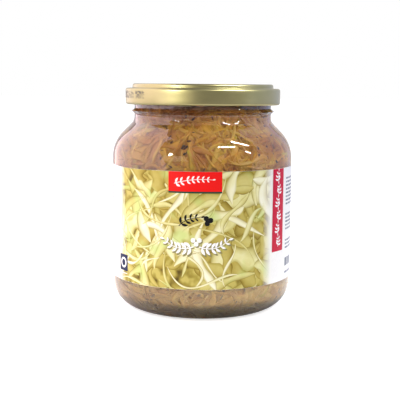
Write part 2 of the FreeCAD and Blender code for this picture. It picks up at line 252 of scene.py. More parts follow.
def mesh_piece(name, points, faces, sharp=50):
    """A mesh object with its doubled points merged, its faces turned outwards and its shading smooth."""
    piece = new_piece(name, points.tolist(), faces)
    mesh = piece.data
    work = bmesh.new()
    work.from_mesh(mesh)
    bmesh.ops.remove_doubles(work, verts=work.verts, dist=1e-7)
    bmesh.ops.recalc_face_normals(work, faces=work.faces)
    work.to_mesh(mesh)
    work.free()
    mesh.shade_smooth()
    mesh.set_sharp_from_angle(angle=math.radians(sharp))
    print(f"{name}: {len(mesh.polygons)} faces")
    return piece


def full_circle(count):
    return np.arange(count) * 2 * math.pi / count


def ripple(seed, angle, height, wave):
    """Smooth unevenness between about -1 and 1 that closes on itself round the jar."""
    draw = np.random.default_rng(seed)
    total = np.zeros(np.shape(angle))
    for _ in range(12):
        turns = draw.integers(1, max(2, int(2 * math.pi * BODY / wave)))
        rise = draw.normal(0, 2 * math.pi / wave)
        total += np.sin(turns * angle + rise * height + draw.uniform(0, 2 * math.pi))
    return total / 5


# %% [markdown]
# ## The glass
# Jars are blown from soda-lime glass in a two-part iron mould. The outside keeps the mould's chill
# ripples and two fine seams, so reflections wander a little at their edges. The rim's bead stands out
# as a soft ridge, and the cap's lugs catch under four short threads. All of this is real relief.

# %% The glass mesh
THREAD_RISE = 1.25 * MM
THREAD_WIDTH = 1.5 * MM
THREAD_PITCH = 12.7 * MM
THREAD_SWEEP = math.radians(110)
THREADS = 4
THREAD_MIDDLE = 92.99 * MM
SEAM_RISE = 0.09 * MM
SEAM_WIDTH = math.radians(0.5)
SEAMS = (math.radians(12), math.radians(192))
KNURLS = 90


def bead(steps):
    """The ring under the cap, with hollow flanks and a narrow round tip."""
    across = np.linspace(-1, 1, steps)
    stand = BEAD_RISE * (1 - np.abs(across)) ** 1.35
    return [(NECK + s, BEAD_LOW + BEAD_HEIGHT * (a + 1) / 2) for s, a in zip(stand, across)]


def glass_bend(radius, height, angle):
    """Threads, seams, foot knurls and the mould's ripples, added to the turned shape."""
    outside = np.arange(len(radius))[:, None] < outside_rows
    plain = outside & (height > 3 * MM) & (height < NECK_LOW)
    radius = radius + plain * (
        0.055 * MM * ripple(1, angle, height, 26 * MM) + 0.012 * MM * ripple(2, angle, height, 9 * MM)
    )
    for seam in SEAMS:
        away = np.abs((angle - seam + math.pi) % (2 * math.pi) - math.pi)
        radius = radius + plain * SEAM_RISE * np.clip(1 - away / SEAM_WIDTH, 0, 1)
    finish = outside & (height > BEAD_HIGH) & (height < RIM - LIP)
    for start in range(THREADS):
        along = (angle - start * 2 * math.pi / THREADS) % (2 * math.pi)
        middle = THREAD_MIDDLE + THREAD_PITCH * (along - THREAD_SWEEP / 2) / (2 * math.pi)
        ridge = np.clip(1.6 - np.abs(height - middle) / (THREAD_WIDTH / 3.2), 0, 1)
        ends = np.clip(np.minimum(along, THREAD_SWEEP - along) / math.radians(6), 0, 1)
        radius = radius + finish * THREAD_RISE * ridge * ends
    foot = outside & (height < 0.01 * MM) & (radius > BODY - HEEL - FOOT_RING * 0.8)
    height = height + foot * 0.12 * MM * (0.5 + 0.5 * np.sign(np.cos(KNURLS * angle)))
    return radius, height


foot = BODY - HEEL
punt_run = foot - FOOT_RING - PUNT_FLAT
punt_bend = (punt_run**2 + PUNT**2) / (2 * PUNT)
punt_turn = math.degrees(math.asin(punt_run / punt_bend))
bottom = [(0, PUNT), (PUNT_FLAT / 2, PUNT)]
bottom += arc((PUNT_FLAT, PUNT - punt_bend), punt_bend, 90, 90 - punt_turn, 10)
bottom += [(foot - FOOT_RING * s, 0) for s in (0.75, 0.5, 0.25)]
outer = subdivide(bottom + skin(0, HEEL, 0), 2.2 * MM)
outer += bead(15) + subdivide([(NECK, BEAD_HIGH), (NECK, RIM - LIP)], 0.35 * MM)
outer += arc((NECK - LIP, RIM - LIP), LIP, 0, 90, 6)
outside_rows = len(outer)
bore = NECK - WALL
inner = arc((bore + LIP, RIM - LIP), LIP, 90, 180, 6)
inner += subdivide(skin(WALL, HEEL_INSIDE, FLOOR)[::-1] + [(0, FLOOR)], 5 * MM)
seam_angles = [s + SEAM_WIDTH * k for s in SEAMS for k in (-1, -0.4, 0, 0.4, 1)]
glass_angles = np.sort(np.concatenate([full_circle(2 * KNURLS), seam_angles]))
glass = turned("jar_glass", outer + inner, glass_angles, bend=glass_bend, sharp=60)
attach(glass, "root")
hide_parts("glass_jar")

# %% [markdown]
# Soda-lime glass bends light with an index of 1.52 and is very faintly green from iron in the sand.
# A polished mould leaves it almost perfectly smooth. The tint is set on the shader itself, so that it
# travels with the mesh into other programs.


# %% The glass material
def soda_lime_glass():
    material = start_material("soda-lime glass")
    inputs = {"Base Color": linear("#F3FAF5"), "Roughness": 0.0, "IOR": 1.52, "Transmission Weight": 1.0}
    return finish_material(material, add(material, "BsdfPrincipled", inputs))


glass.data.materials.append(soda_lime_glass())

# %% [markdown]
# ## The cabbage
# Behind clear glass the eye expects the contents to touch it. An air gap would show as a bright line, so
# the core is a closed shape that reaches just into the glass wall. It is the brine and cabbage deep
# between the shreds, its darkest brown painted shade of those gaps, and the shreds themselves lie on it as
# separate strips.

# %% The core
FILL_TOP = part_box("sauerkraut")[1][2]
INTO_WALL = 0.12 * MM
CORE_TOP = FILL_TOP - 0.4 * MM
CORE_BEVEL = (1.0 * MM, 0.8 * MM)  # in and down from the top's edge
core_inset = WALL - INTO_WALL
core_floor = FLOOR - INTO_WALL
core_outline = [(0, core_floor)] + skin(core_inset, HEEL_INSIDE + INTO_WALL, core_floor)
core_side = NECK - core_inset
core_outline += [(core_side, CORE_TOP - CORE_BEVEL[1]), (core_side - CORE_BEVEL[0], CORE_TOP), (0, CORE_TOP)]


def core_bend(radius, height, angle):
    """Small lumps outwards into the glass, and a lumpy top."""
    on_top = height > FILL_TOP - 0.5 * MM
    lumps = 0.5 + 0.5 * np.clip(ripple(3, angle, height, 7 * MM), -1, 1)
    side = (radius > 20 * MM) & ~on_top
    dents = np.clip(ripple(4, angle, radius * 3, 12 * MM), -1, 0.3)
    return radius + side * 0.12 * MM * lumps, height + on_top * 1.0 * MM * dents * (radius > 1 * MM)


core = turned("brine_core", subdivide(core_outline, 1.6 * MM), full_circle(180), bend=core_bend)
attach(core, "root")
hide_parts("sauerkraut")

# %% [markdown]
# Fermented cabbage is translucent, so its colour is a mix of straw, ochre and amber that drifts from
# place to place. The core's colour comes from noise at the size of a shred's width and of a clump, with a
# dark brown that is painted shade for the gaps between shreds. It lies against the glass, so the shine
# is the glass's and its own is soft.


# %% The core's material
def cabbage_in_brine():
    material = start_material("cabbage in brine")
    place = position(material)
    clump = noise(material, place, 9 * MM, 4.0)
    fibre = noise(material, place, 2.2 * MM, 5.0, Roughness=0.65, Distortion=1.5)
    both = mix_value(material, 0.6, clump, fibre)
    # The darkest brown is painted shade for the gaps between the shreds.
    browns = [(0.36, "#60380E"), (0.46, "#98661E"), (0.55, "#B98530"), (0.68, "#CDA24C")]
    colour = ramp_colour(material, both, *browns)
    relief = bumps(material, fibre, 0.5, 0.3 * MM)
    inputs = {"Base Color": colour, "Roughness": 0.45, "Normal": relief}
    return finish_material(material, add(material, "BsdfPrincipled", inputs))


core.data.materials.append(cabbage_in_brine())

# %% [markdown]
# ## The shreds
# A shredder cuts cabbage into strips 1 to 2 mm wide, half as thick and a few centimetres long. In the
# jar they lie pressed flat against the glass, curling over and under each other. Particles would be
# the quick way, but they vanish when the model is exported, so the strips are built as one joined mesh
# for each kind. Each strip wanders along the inner wall in small steps, with its own curl and twist.

# %% A table of the inner wall
wall_line = subdivide([(2 * MM, FLOOR)] + skin(WALL, HEEL_INSIDE, FLOOR) + [(bore, FILL_TOP)], 0.4 * MM)
wall_r, wall_z = np.array(wall_line).T
wall_s = np.concatenate([[0], np.cumsum(np.hypot(np.diff(wall_r), np.diff(wall_z)))])
slope_r, slope_z = np.gradient(wall_r, wall_s), np.gradient(wall_z, wall_s)
label_low, label_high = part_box("label")
HIDDEN_LOW = label_low[2] + 7 * MM
HIDDEN_HIGH = label_high[2] - 7 * MM
BACK_GAP = math.radians(9)
BACK = math.pi / 2


def wall_point(s, angle, out):
    """A point on the inner wall, moved out into the glass, and the wall's normal there."""
    r, z = np.interp(s, wall_s, wall_r), np.interp(s, wall_s, wall_z)
    nr, nz = np.interp(s, wall_s, slope_z), -np.interp(s, wall_s, slope_r)
    normal = np.stack([nr * np.cos(angle), nr * np.sin(angle), nz], -1)
    point = np.stack([r * np.cos(angle), r * np.sin(angle), z], -1)
    return point + normal * out[..., None], normal


def shows(s, angle):
    """True where the paper label doesn't hide the glass."""
    z = np.interp(s, wall_s, wall_z)
    behind = np.abs((angle - BACK + math.pi) % (2 * math.pi) - math.pi) < BACK_GAP + 0.15
    return (z < HIDDEN_LOW) | (z > HIDDEN_HIGH) | behind


print(f"the inner wall is {wall_s[-1] / MM:.0f} mm from the middle of the floor to the fill line")

# %% [markdown]
# Where a strip starts is drawn at random, evenly by area. Its heading then turns as it goes, which gives
# the hooks and loops that shredded cabbage has. The section is a flat lens: full in the middle
# and thin at both edges. Every strip carries one number, its shade, which the material turns into colour.

# %% Making strips
LENS = [(-0.5, 0.0), (-0.28, 0.42), (0.28, 0.42), (0.5, 0.0), (0.28, -0.42), (-0.28, -0.42)]


def starts(draw, count):
    """Random starting places on the part of the wall that shows."""
    s = draw.uniform(0, wall_s[-1], count * 8)
    angle = draw.uniform(0, 2 * math.pi, count * 8)
    radius = np.interp(s, wall_s, wall_r)
    keep = shows(s, angle) & (draw.uniform(0, BODY, count * 8) < radius)
    return s[keep][:count], angle[keep][:count]


def walk(draw, count, steps, length, curl):
    """Places along each strip as wall distance and angle, from a heading that turns as it goes."""
    s, angle = starts(draw, count)
    heading = draw.uniform(0, 2 * math.pi, len(s))
    bend = draw.normal(0, curl, len(s))
    sway = draw.normal(0, curl * 0.8, len(s))
    phase = draw.uniform(0, 2 * math.pi, len(s))
    step = draw.uniform(*length, len(s)) / steps
    path = []
    for k in range(steps + 1):
        path.append((s, angle))
        turn = (bend + sway * np.sin(phase + 5 * k / steps)) * step
        heading = heading + turn
        radius = np.maximum(np.interp(s, wall_s, wall_r), 4 * MM)
        s = np.clip(s + step * np.cos(heading), 0, wall_s[-1])
        angle = angle + np.clip(step * np.sin(heading) / radius, -0.4, 0.4)
    s, angle = (np.stack(values, 1) for values in zip(*path))
    return s, angle


def strips(name, seed, count, length, width, thickness, out, curl, steps=11, twist=14):
    """One mesh of many strips. Lengths are in metres, out is how far into the glass wall they lie."""
    draw = np.random.default_rng(seed)
    s, angle = walk(draw, count, steps, length, curl)
    count = len(s)
    along = np.linspace(0, 1, steps + 1)
    rise = draw.uniform(*out, (count, 1)) + 0.12 * MM * np.sin(
        draw.uniform(0, 6, (count, 1)) + draw.uniform(2, 9, (count, 1)) * along
    )
    middle, normal = wall_point(s, angle, rise)
    ahead = np.gradient(middle, axis=1)
    ahead /= np.maximum(np.linalg.norm(ahead, axis=2, keepdims=True), 1e-9)
    side = np.cross(normal, ahead)
    roll = np.radians(draw.normal(0, twist, (count, 1)) + draw.normal(0, twist, (count, 1)) * along)
    wide = side * np.cos(roll)[..., None] + normal * np.sin(roll)[..., None]
    thick = normal * np.cos(roll)[..., None] - side * np.sin(roll)[..., None]
    taper = np.clip(np.minimum(along, 1 - along) * 7, 0.35, 1)
    w = draw.uniform(*width, (count, 1)) * taper
    w = w * (1 + 0.15 * np.sin(draw.uniform(0, 6, (count, 1)) + 7 * along))
    t = draw.uniform(*thickness, (count, 1)) * taper
    rings = np.stack(
        [middle + wide * (w * x)[..., None] + thick * (t * y)[..., None] for x, y in LENS], axis=2
    )
    corners = len(LENS)
    base = (np.arange(count)[:, None] * (steps + 1) + np.arange(steps)) * corners
    k = np.arange(corners)
    a = base[..., None] + k
    b = base[..., None] + (k + 1) % corners
    quads = np.stack([a, b, b + corners, a + corners], -1).reshape(-1, 4)
    first = np.arange(count)[:, None] * (steps + 1) * corners
    caps = np.concatenate([first + k[::-1], first + steps * corners + k])
    piece = new_piece(name, rings.reshape(-1, 3).tolist(), quads.tolist() + caps.tolist())
    shade = piece.data.attributes.new("shade", "FLOAT", "POINT")
    shade.data.foreach_set("value", np.repeat(draw.uniform(0, 1, count), (steps + 1) * corners))
    piece.data.shade_smooth()
    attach(piece, "root")
    print(f"{name}: {count} strips, {len(piece.data.polygons)} faces")
    return piece


# %% [markdown]
# A shred is soaked plant fibre, slightly glassy, so some light passes under its skin. Its colour is drawn
# from a ramp by its own shade, and a fine noise mottles it so that no strip is one flat tone.


# %% The shreds' material
HEIGHT_RAMP_END = 100 * MM  # the height at which the ramp of tint and painted shade ends


def height_tint_and_painted_shade(material, place, colour):
    """Colour by height: painted shade at the heel, paler low down as a painted reflection of the floor, ochre
    on the shoulder, and under the cap dark brown, painted shade of the cap over the top layer's browning.
    """
    height = add(material, "SeparateXYZ", {"Vector": place}).outputs["Z"]
    share = add(material, "Math", {0: height, 1: HEIGHT_RAMP_END}, operation="DIVIDE").outputs[0]
    # The grey at the ramp's foot is painted shade at the heel, and the dark brown at its top is painted shade
    # under the cap.
    low = [(0.066, "#86867E"), (0.082, "#FFFAFA"), (0.30, "#FFFAF4"), (0.60, "#E8DA86")]
    high = [(0.80, "#E2D49C"), (0.86, "#D8BA98"), (0.915, "#562C20")]
    tinted_and_shaded = times(material, colour, ramp_colour(material, share, *low, *high))
    clump = noise(material, place, 13 * MM, 2.0)
    brown = ramp_colour(material, clump, (0.36, "#D8B894"), (0.48, "#F4E8D0"), (0.58, "#FFFFFF"))
    # Low down the colour is mixed with a pale pinkish tan, a painted milky reflection of the floor in the
    # glass.
    painted_reflection_share = spread(material, height, 8 * MM, 35 * MM, 0.33, 0.0)
    return mix_colour(material, painted_reflection_share, times(material, tinted_and_shaded, brown), linear("#E4C6A0"))


def fermented_shred(name, stops):
    material = start_material(name)
    place = position(material)
    mottle = noise(material, place, 3 * MM, 4.0)
    drift = mix_value(material, 0.45, carried(material, "shade"), mottle)
    inputs = {
        "Base Color": height_tint_and_painted_shade(material, place, ramp_colour(material, drift, *stops)),
        "Roughness": 0.4,
        "Subsurface Weight": 0.25,
        "Subsurface Radius": (1.0, 0.55, 0.2),
        "Subsurface Scale": 1.2 * MM,
        "Normal": bumps(material, mottle, 0.3, 0.2 * MM),
    }
    return finish_material(material, add(material, "BsdfPrincipled", inputs))


SHRED_KINDS = [
    # name, seed, count, length, width, thickness, out, curl (spread of the bend, radians a metre), ramp
    # lengths in mm, out from the inner wall into the glass
    (
        "shreds_amber", 11, 1150, (8, 22), (1.8, 4.2), (0.4, 0.7), (0.05, 0.4), 80,
        ("#AA7428", "#C68F3A", "#D29F46"),
    ),
    (
        "shreds_ochre", 12, 1100, (9, 26), (1.5, 3.6), (0.35, 0.6), (0.2, 0.75), 95,
        ("#C08B34", "#D4A446", "#DEB156"),
    ),
    (
        "shreds_straw", 13, 330, (8, 24), (0.9, 2.4), (0.3, 0.55), (0.35, 0.95), 110,
        ("#C9A048", "#D6B05A", "#E2BE72"),
    ),
    (
        "ribs_tan", 14, 70, (6, 13), (2.4, 3.8), (0.5, 0.8), (0.4, 0.9), 90,
        ("#BE8630", "#CA943A", "#D4A046"),
    ),
    (
        "leaf_yellow", 15, 36, (5, 10), (2.6, 4.2), (0.3, 0.5), (0.5, 0.9), 60,
        ("#B99C2C", "#C9AE3A", "#D6BF55"),
    ),
    (
        "bits_brown", 16, 620, (0.7, 2.6), (0.4, 1.1), (0.2, 0.4), (0.6, 1.2), 60,
        ("#3A1F0C", "#5B3716", "#7A5126"),
    ),
]
for name, seed, count, length, width, thickness, out, curl, stops in SHRED_KINDS:
    in_metres = [(a * MM, b * MM) for a, b in (length, width, thickness, out)]
    kind = strips(name, seed, count, *in_metres, curl)
    ramp_stops = list(zip((0.25, 0.5, 0.75), stops))
    kind.data.materials.append(fermented_shred("fermented cabbage, " + name.split("_")[1], ramp_stops))
    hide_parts("sauerkraut")

# %% [markdown]
# ## The cap
# A twist-off cap is pressed from tinplate a quarter of a millimetre thick. Its edge is rolled into a hem
# so that nobody is cut, and four lugs are squeezed out of that hem. The panel is sunk, with a button
# that pops up when the vacuum is lost. One closed outline turned round the axis gives the real thickness.

# %% The cap's section
cap_low, cap_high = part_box("lid")
SHEET = 0.25 * MM
CURL = 1.0 * MM
CAP = cap_high[0]
STEP = 97.634 * MM
STEP_ROUND = 1.0 * MM
CROWN = 31.3 * MM
CROWN_ROUND = 0.9 * MM
ROOT_ROUND = 0.5 * MM
LINING_INSIDE = 26.85 * MM
PANEL = cap_high[2] - 0.8 * MM
BUTTON = PANEL - 0.5 * MM
RAMP = 1.2 * MM
BUTTON_RADIUS = 11 * MM
LUGS = 4
LUG_MIDDLE = math.radians(55)
LUG_SWEEP = math.radians(20)
LUG_TIP = 31.05 * MM


def ramp(begin, end, steps=7):
    """A smooth S-shaped slope between two (radius, height) points."""
    t = np.linspace(0, 1, steps)
    ease = t * t * (3 - 2 * t)
    return [(begin[0] + (end[0] - begin[0]) * a, begin[1] + (end[1] - begin[1]) * b) for a, b in zip(t, ease)]


def cap_face(depth):
    """The cap from the hem up to the middle of the panel, depth below its outer face."""
    side = CAP - depth
    top = cap_high[2] - depth
    return (
        [(side, cap_low[2] + CURL)]
        + arc((CAP - STEP_ROUND, STEP - STEP_ROUND), STEP_ROUND - depth, 0, 90, 8)
        + arc((CROWN + ROOT_ROUND, STEP + ROOT_ROUND), ROOT_ROUND + depth, -90, -180, 6)
        + arc((CROWN - CROWN_ROUND, cap_high[2] - CROWN_ROUND), CROWN_ROUND - depth, 0, 90, 8)
        + ramp((LINING_INSIDE, top), (LINING_INSIDE - RAMP, PANEL - depth))
        + ramp((BUTTON_RADIUS + RAMP, PANEL - depth), (BUTTON_RADIUS, BUTTON - depth))
        + [(0, BUTTON - depth)]
    )


def cap_bend(radius, height, angle):
    """Lugs squeezed inwards from the hem, and a skirt that isn't perfectly round."""
    rolled = np.clip((cap_low[2] + 1.9 * CURL - height) / (0.9 * CURL), 0, 1)
    inward = np.clip((CAP - 0.6 * MM - radius) / (0.5 * MM), 0, 1)
    for k in range(LUGS):
        away = (angle - LUG_MIDDLE - k * 2 * math.pi / LUGS + math.pi) % (2 * math.pi) - math.pi
        near = np.clip(1.5 - np.abs(away) / (LUG_SWEEP / 3), 0, 1)
        radius = radius - near * rolled * (inward * (CAP - 2 * CURL - LUG_TIP) + 0.12 * MM)
    skirt = (height > cap_low[2] + CURL) & (radius > CROWN)
    return radius + skirt * 0.02 * MM * (ripple(5, angle, height, 22 * MM) - 1), height


hem_centre = (CAP - CURL, cap_low[2] + CURL)
outside = subdivide(cap_face(0), 1.5 * MM)
inside = subdivide(cap_face(SHEET), 1.5 * MM)[::-1]
hem_inside = arc(hem_centre, CURL - SHEET, 0, -250, 16)[1:]
hem_outside = arc(hem_centre, CURL, -250, 0, 22)[:-1]
cap_outline = outside + inside + hem_inside + hem_outside
cap = turned("cap_shell", cap_outline, full_circle(216), ring=True, bend=cap_bend, sharp=60)
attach(cap, "root")
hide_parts("lid")

# %% [markdown]
# The gold of a food cap is a clear yellow lacquer baked over shiny tin. It reflects like soft metal: the
# studio shows in it as broad bands with no sharp edge. The sheet's rolling gives a very fine
# orange peel, drawn here at 0.8 mm so that it can be seen at all.


# %% The cap's material
def gold_lacquered_tinplate():
    material = start_material("gold-lacquered tinplate")
    place = position(material)
    cloud = noise(material, place, 14 * MM, 2.0)
    peel = noise(material, place, 0.8 * MM, 2.0)
    colour = ramp_colour(material, cloud, (0.35, "#908A60"), (0.65, "#9A9269"))
    relief = bumps(material, peel, 0.12, 0.05 * MM)
    inputs = {"Base Color": colour, "Metallic": 1.0, "Roughness": 0.34, "Normal": relief}
    return finish_material(material, add(material, "BsdfPrincipled", inputs))


cap.data.materials.append(gold_lacquered_tinplate())

# %% [markdown]
# A filling line sprays a date on the cap with an ink jet, one droplet at a time. Here the droplets fall at
# random in their grid, so the mark keeps its grain and place but says nothing.

# %% The ink-jet dots
DOT = 0.24 * MM  # radius
DOT_PITCH = 0.46 * MM
MARK_ANGLE = math.radians(-171)
MARK_SWEEP = math.radians(42)
MARK_LOW = 93.4 * MM
MARK_ROWS = 7
BREAK = (0.66, 0.74)  # the space between the two groups, as shares of the mark
CHANCE = 0.42  # how often a place in the grid gets its droplet
SCATTER = 0.03 * MM
INK_HEIGHT = 0.004 * MM
DOT_CORNERS = 7
droplets = np.random.default_rng(23)
dot_points, dot_faces = [], []
columns = int(MARK_SWEEP * CAP / DOT_PITCH)
for column in range(columns):
    for row in range(MARK_ROWS):
        if droplets.uniform() > CHANCE or BREAK[0] < column / columns < BREAK[1]:
            continue
        angle = MARK_ANGLE + (column * DOT_PITCH + droplets.normal(0, SCATTER)) / CAP
        height = MARK_LOW + row * DOT_PITCH + droplets.normal(0, SCATTER)
        first = len(dot_points)
        for turn in full_circle(DOT_CORNERS):
            a = angle + DOT * math.cos(turn) / CAP
            radius = CAP + INK_HEIGHT
            dot_points.append((radius * math.cos(a), radius * math.sin(a), height + DOT * math.sin(turn)))
        dot_faces.append(list(range(first, first + DOT_CORNERS)))
dots = new_piece("cap_ink_dots", dot_points, dot_faces)
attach(dots, "root")
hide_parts("lid")
print("cap_ink_dots:", len(dot_faces), "droplets")


def jet_ink():
    material = start_material("black ink-jet ink")
    wet = noise(material, position(material), 0.5 * MM, 1.0)
    colour = ramp_colour(material, wet, (0.3, "#14161C"), (0.7, "#3A3B3E"))
    inputs = {"Base Color": colour, "Roughness": 0.5}
    return finish_material(material, add(material, "BsdfPrincipled", inputs))


dots.data.materials.append(jet_ink())

# %% [markdown]
# Under the crown a ring of soft sealing compound is flowed in and baked. It seats on the glass rim, so it
# is only seen when the cap is off, but the cap isn't complete without it.

# %% The sealing ring
seal_top = cap_high[2] - SHEET
seal_side = CROWN - SHEET
seal_round = CROWN_ROUND - SHEET
seal_outline = [(LINING_INSIDE, seal_top), (LINING_INSIDE, RIM), (seal_side, RIM)]
seal_outline += arc((seal_side - seal_round, seal_top - seal_round), seal_round, 0, 90, 5)
seal = turned("sealing_ring", subdivide(seal_outline, 1.2 * MM), full_circle(144), ring=True)
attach(seal, "root")
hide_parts("lid")


def plastisol():
    material = start_material("white plastisol")
    flow = noise(material, position(material), 5 * MM, 3.0)
    colour = ramp_colour(material, flow, (0.3, "#DEDACB"), (0.7, "#EFECE0"))
    inputs = {"Base Color": colour, "Roughness": 0.55}
    return finish_material(material, add(material, "BsdfPrincipled", inputs))


seal.data.materials.append(plastisol())

# %% [markdown]
# ## The label
# The label is one long strip of coated paper, glued round the body so that its ends stop short of each
# other at the back. Print has no thickness to speak of, so it could be a painted texture. Here each printed
# shape is a thin skin of ink, about a tenth of a millimetre over the paper at most, cut as real geometry,
# so the edges stay crisp from any distance and nothing depends on an image.

# %% The paper
PAPER = label_high[0] - BODY
GAP_AT_BACK = 18  # degrees
TUCKED_IN = 0.02 * MM  # the paper's inner face lies this far into the glass, so no gap shows
PAPER_EDGE = 0.05 * MM
paper_outline = [
    (BODY - TUCKED_IN, label_low[2]),
    (BODY + PAPER * 0.9, label_low[2]),
    (BODY + PAPER, label_low[2] + PAPER_EDGE),
    (BODY + PAPER, label_high[2] - PAPER_EDGE),
    (BODY + PAPER * 0.9, label_high[2]),
    (BODY - TUCKED_IN, label_high[2]),
]
paper_angles = np.radians(np.linspace(90 + GAP_AT_BACK / 2, 450 - GAP_AT_BACK / 2, 241))
paper = turned("label_paper", subdivide(paper_outline, 4 * MM), paper_angles, ring=True)
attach(paper, "root")
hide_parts("label")


def coated_paper():
    material = start_material("coated label paper")
    place = position(material)
    fibre = noise(material, place, 1.1 * MM, 4.0)
    cockle = noise(material, place, 11 * MM, 1.0)
    colour = ramp_colour(material, fibre, (0.3, "#F1EFE9"), (0.7, "#F8F6F0"))
    relief = bumps(material, cockle, 0.35, 0.12 * MM)
    inputs = {"Base Color": colour, "Roughness": 0.42, "Normal": relief}
    return finish_material(material, add(material, "BsdfPrincipled", inputs))


paper.data.materials.append(coated_paper())

# %% [markdown]
# All the print is drawn with one tool: a ribbon that follows a path on the flat label, with a width that
# may change along it. A leaf is a ribbon that is wide in the middle, a bar is a straight one, a ring is one
# that comes back to its start. The flat drawing, in millimetres, is then wrapped on the jar.

# %% A tool for printed shapes
PRINT_RADIUS = BODY + PAPER
FINE_STEP = 0.7  # mm, short enough for a chord to stay within 2 microns of the round label
INK_LAYER = 0.5  # microns between one printed strand and the next


def u_mm(degrees):
    """Millimetres along the label for degrees round the jar, from the middle of the front."""
    return math.radians(degrees) * PRINT_RADIUS / MM


def bezier(points, steps):
    """A smooth path through the plane from two to four control points."""
    t = np.linspace(0, 1, steps)[:, None]
    levels = [np.array(p, float) + 0 * t for p in points]
    while len(levels) > 1:
        levels = [a + (b - a) * t for a, b in zip(levels, levels[1:])]
    return levels[0]


def ribbon(path, width, lift, tone=0.5, clip=None, columns=None):
    """A flat shape on the label: path and width in mm, lift in microns. clip is a (u, z) box in mm."""
    path = np.array(path, float)
    width = np.broadcast_to(np.asarray(width, float), len(path))
    columns = columns or max(2, math.ceil(width.max() / FINE_STEP))
    ahead = np.gradient(path, axis=0)
    ahead /= np.maximum(np.linalg.norm(ahead, axis=1, keepdims=True), 1e-9)
    side = np.stack([-ahead[:, 1], ahead[:, 0]], 1)
    across = np.linspace(0, 1, columns + 1)
    flat = path[:, None] + side[:, None] * (width[:, None] * (across - 0.5))[..., None]
    if clip:
        flat = np.clip(flat, clip[0], clip[1])
    return {
        "flat": flat.reshape(-1, 2),
        "across": np.tile(across, len(path)),
        "rows": len(path),
        "columns": columns + 1,
        "lift": lift,
        "tone": tone,
    }


def bar(left, low, right, high, lift, tone=0.5):
    """An upright rectangle, given by its corners in mm."""
    middle = (low + high) / 2
    rows = max(3, math.ceil((right - left) / FINE_STEP))
    path = np.stack([np.linspace(left, right, rows), np.full(rows, middle)], 1)
    return ribbon(path, high - low, lift, tone, columns=1)


def leaf(root, tip, width, sag, lift, tone=0.5):
    """A pointed leaf or berry, its middle line bowed by sag."""
    root, tip = np.array(root, float), np.array(tip, float)
    across = np.array([-(tip - root)[1], (tip - root)[0]])
    path = bezier([root, (root + tip) / 2 + across * sag * 2, tip], 13)
    swell = np.sin(np.linspace(0, math.pi, 13)) ** 0.75
    return ribbon(path, np.maximum(width * swell, 0.02), lift, tone)


def ring(centre, radius, width, lift, tone=0.5):
    """A ring. With a width of twice the radius it is a disc."""
    return ribbon(arc(centre, radius, 0, 360, 25), width, lift, tone)


def printed(name, shapes, material):
    """Wraps flat shapes on the jar as one piece with a tone for each shape."""
    points, faces, tones, across, u = [], [], [], [], []
    for shape in shapes:
        flat = shape["flat"]
        angle = flat[:, 0] * MM / PRINT_RADIUS - math.pi / 2
        radius = PRINT_RADIUS + shape["lift"] * 1e-6
        first = sum(len(p) for p in points)
        points.append(np.stack([radius * np.cos(angle), radius * np.sin(angle), flat[:, 1] * MM], 1))
        i, j = np.meshgrid(np.arange(shape["rows"] - 1), np.arange(shape["columns"] - 1), indexing="ij")
        a = first + i * shape["columns"] + j
        quads = np.stack([a, a + shape["columns"], a + shape["columns"] + 1, a + 1], -1).reshape(-1, 4)
        faces += quads.tolist()
        tones.append(np.full(len(flat), shape["tone"]))
        across.append(shape["across"])
        u.append(np.degrees(flat[:, 0] * MM / PRINT_RADIUS))
    points = np.concatenate(points)
    piece = new_piece(name, points.tolist(), faces)
    mesh = piece.data
    normals = points * [1, 1, 0]
    normals /= np.linalg.norm(normals, axis=1, keepdims=True)
    mesh.shade_smooth()
    mesh.normals_split_custom_set_from_vertices(normals.tolist())
    for attribute, values in (("tone", tones), ("across", across), ("turn", u)):
        layer = mesh.attributes.new(attribute, "FLOAT", "POINT")
        layer.data.foreach_set("value", np.concatenate(values))
    mesh.materials.append(material)
    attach(piece, "root")
    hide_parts("label")
    print(f"{name}: {len(shapes)} printed shapes, {len(faces)} faces")


def ink_surface(material, colour):
    inputs = {"Base Color": colour, "Roughness": 0.4, "Specular IOR Level": 0.15}
    return add(material, "BsdfPrincipled", inputs)


def printing_ink(name, *stops):
    """One printed ink: its tone varies from shape to shape, and very slightly with the dots of the press."""
    material = start_material(name)
    dots = noise(material, position(material), 0.6 * MM, 2.0)
    both = mix_value(material, 0.12, carried(material, "tone"), dots)
    return finish_material(material, ink_surface(material, ramp_colour(material, both, *stops)))


# %% [markdown]
# The picture on the front is a field of tangled pale strands over an ochre ground, a pattern of
# the printer's own. Strips come first, then broad leaf pieces, more strips and last fine threads, each a
# hair above the one before, so that they cover one another as layers of ink. Both sides fade to white.

